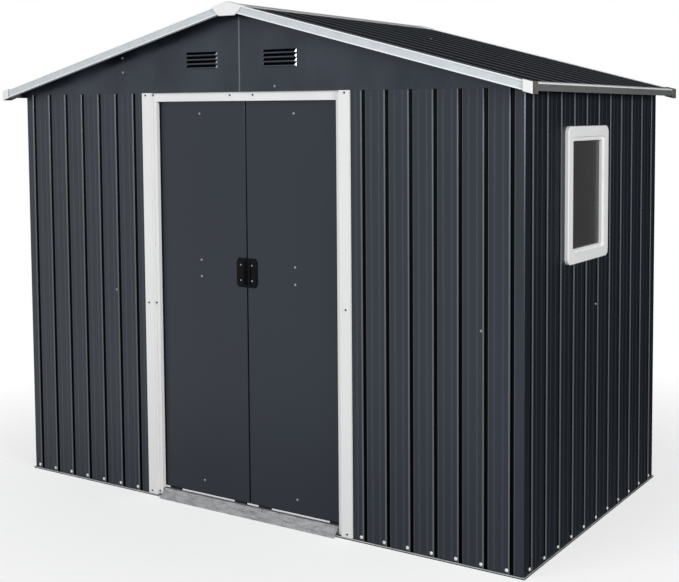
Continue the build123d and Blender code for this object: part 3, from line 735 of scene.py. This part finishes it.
# Base screws go through each flat into the floor rails, just left of its groove
baseScrews = {
    "height": 0.018, "beside": 0.016, "frontCount": 7, "frontPitch": 0.093,
    "sideCount": 11, "sideSpread": 0.010, "backCount": 24,
}
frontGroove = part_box("front_wall_left")[0].x
frontSteps = [index * baseScrews["frontPitch"] for index in range(baseScrews["frontCount"])]
frontRun = [frontGroove + step - baseScrews["beside"] for step in frontSteps]
frontRun += [-frontGroove - step - baseScrews["beside"] for step in frontSteps]
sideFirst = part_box("corner_front_right")[1].y - baseScrews["sideSpread"]
sideRun = evenly(sideFirst, -sideFirst, baseScrews["sideCount"])
backRun = [x - baseScrews["beside"] for x in evenly(frontGroove, -frontGroove, baseScrews["backCount"])]
low = baseScrews["height"]
addScrews("front_base_screws", "base", [(x, wallLow.y, low) for x in frontRun], front)
addScrews("back_base_screws", "base", [(x, wallHigh.y, low) for x in backRun], back)
addScrews("left_base_screws", "base", [(wallLow.x, y, low) for y in sideRun], left)
addScrews("right_base_screws", "base", [(wallHigh.x, y, low) for y in sideRun], right)

# Lap screws hold the wall sheets together halfway up, where the photograph shows them
lapScrews = {"front": ((-0.637, 0.790), (0.977, 0.781)), "side": (-0.016, 0.798)}
sideY, sideZ = lapScrews["side"]
addScrews("front_lap_screws", "lap", [(x, wallLow.y, z) for x, z in lapScrews["front"]], front)
addScrews("back_lap_screws", "lap", [(x, wallHigh.y, z) for x, z in lapScrews["front"]], back)
addScrews("left_lap_screws", "lap", [(wallLow.x, sideY, sideZ)], left)
addScrews("right_lap_screws", "lap", [(wallHigh.x, sideY, sideZ)], right)

# Gable screws, and one on each slope of the roof
gableScrews = {"left": ((-0.582, 1.690), (-0.582, 1.635)), "right": ((0.156, 1.572),), "lap": 0.0015}
roofScrew = (0.397, 0.080)
gableRight = wallLow.y - gableScrews["lap"]
gablePlaces = [(x, wallLow.y, z) for x, z in gableScrews["left"]]
gablePlaces += [(x, gableRight, z) for x, z in gableScrews["right"]]
addScrews("front_gable_screws", "lap", gablePlaces, front)
addScrews("back_gable_screws", "lap", [(x, -y, z) for x, y, z in gablePlaces], back)
roofX, roofY = roofScrew
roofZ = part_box("roof_sheet_right")[1].z - roofSlope * roofX
for name, side in (("left_roof_screw", -1), ("right_roof_screw", 1)):
    addScrews(name, "lap", [(side * roofX, roofY, roofZ)], (side * roofSlope, 0.0, 1.0))

# Jamb and header screws: dark heads on white washers
jambScrews = {
    "proudIn": 0.019, "innerIn": 0.0145, "topDrop": 0.008, "foot": 0.020,
    "leftMiddle": 0.755, "rightMiddle": 0.805, "headerHalf": 0.053, "headerDrop": 0.011,
}
proudX = -(jambLow.x + jambScrews["proudIn"])
innerX = -(jambHigh.x - jambScrews["innerIn"])
jambEnds = (jambScrews["foot"], jambHigh.z - jambScrews["topDrop"])
framePlaces = [(side * proudX, jambLow.y, z) for side in (-1, 1) for z in jambEnds]
framePlaces += [(side * innerX, headerLow.y, z) for side in (-1, 1) for z in jambEnds]
framePlaces.append((-proudX, jambLow.y, jambScrews["leftMiddle"]))
framePlaces.append((-innerX, headerLow.y, jambScrews["leftMiddle"]))
framePlaces.append((proudX, jambLow.y, jambScrews["rightMiddle"]))
headerZ = headerHigh.z - jambScrews["headerDrop"]
framePlaces += [(side * jambScrews["headerHalf"], headerLow.y, headerZ) for side in (-1, 1)]
addScrews("door_frame_screws", "jamb", framePlaces, front)

# Leaf screws fix the braces, and two small ones fix each handle
leafScrews = {
    "braceHalf": 0.015, "middle": 0.900, "middleSpread": 0.031,
    "handleSpread": 0.028, "plate": 0.004,
}
leafX = (leafLow.x + leafHigh.x) / 2
leafHeights = [braceHigh.z - leafScrews["braceHalf"], braceLow.z + leafScrews["braceHalf"]]
leafHeights += [leafScrews["middle"] + side * leafScrews["middleSpread"] for side in (-1, 1)]
handleLow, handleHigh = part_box("right_door_handle")
handleX = (handleLow.x + handleHigh.x) / 2
handleZ = (handleLow.z + handleHigh.z) / 2
handleY = leafLow.y - leafScrews["plate"]
handleHeights = [handleZ + side * leafScrews["handleSpread"] for side in (-1, 1)]
for body, side in (("left_door", -1), ("right_door", 1)):
    places = [(side * leafX, leafLow.y, z) for z in leafHeights]
    addScrews(body + "_brace_screws", "leaf", places, front, body)
    places = [(side * handleX, handleY, z) for z in handleHeights]
    addScrews(body + "_handle_screws", "handle", places, front, body)
